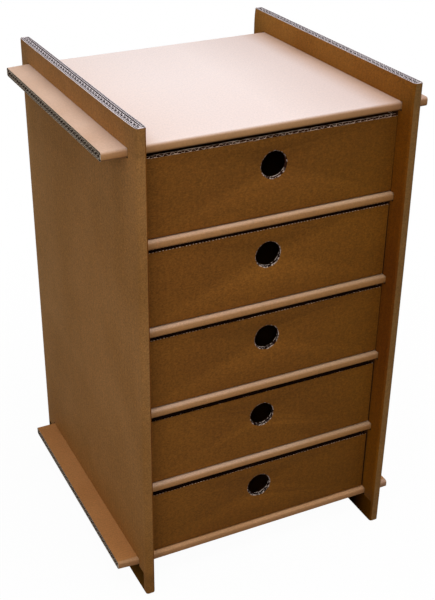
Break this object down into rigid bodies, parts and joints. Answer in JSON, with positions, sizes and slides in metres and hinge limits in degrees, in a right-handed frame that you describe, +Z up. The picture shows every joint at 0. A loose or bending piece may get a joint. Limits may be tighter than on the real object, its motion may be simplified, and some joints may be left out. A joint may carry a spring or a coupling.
{
  "type": "small drawer unit",
  "caption": "Small corrugated cardboard drawer unit with tabbed sleeve panels slotted through raised sides and folded pull-out drawers with round finger holes.",
  "frame": {"origin": "on the floor, in the middle of the unit's width and depth", "axes": "+X to the right seen from the front, +Y to the rear, +Z up; the drawers open towards -Y"},
  "size_m": [0.374, 0.351, 0.576],
  "materials": {
    "kraft_board": "matte kraft liner",
    "drawer_board": "matte kraft liner"
  },
  "bodies": {
    "case": {"left_side_panel": "kraft_board", "right_side_panel": "kraft_board", "top_panel": "kraft_board", "bottom_panel": "kraft_board", "shelf_1": "kraft_board", "shelf_2": "kraft_board", "shelf_3": "kraft_board", "shelf_4": "kraft_board", "back_panel": "kraft_board"},
    "drawer_1": {"drawer_1": "drawer_board"},
    "drawer_2": {"drawer_2": "drawer_board"},
    "drawer_3": {"drawer_3": "drawer_board"},
    "drawer_4": {"drawer_4": "drawer_board"},
    "drawer_5": {"drawer_5": "drawer_board"}
  },
  "joints": [
    {"name": "drawer_1_slide", "type": "slide", "parent": "case", "child": "drawer_1", "axis": [0, -1, 0], "range_m": [0, 0.25]},
    {"name": "drawer_2_slide", "type": "slide", "parent": "case", "child": "drawer_2", "axis": [0, -1, 0], "range_m": [0, 0.25]},
    {"name": "drawer_3_slide", "type": "slide", "parent": "case", "child": "drawer_3", "axis": [0, -1, 0], "range_m": [0, 0.25]},
    {"name": "drawer_4_slide", "type": "slide", "parent": "case", "child": "drawer_4", "axis": [0, -1, 0], "range_m": [0, 0.25]},
    {"name": "drawer_5_slide", "type": "slide", "parent": "case", "child": "drawer_5", "axis": [0, -1, 0], "range_m": [0, 0.25]}
  ]
}
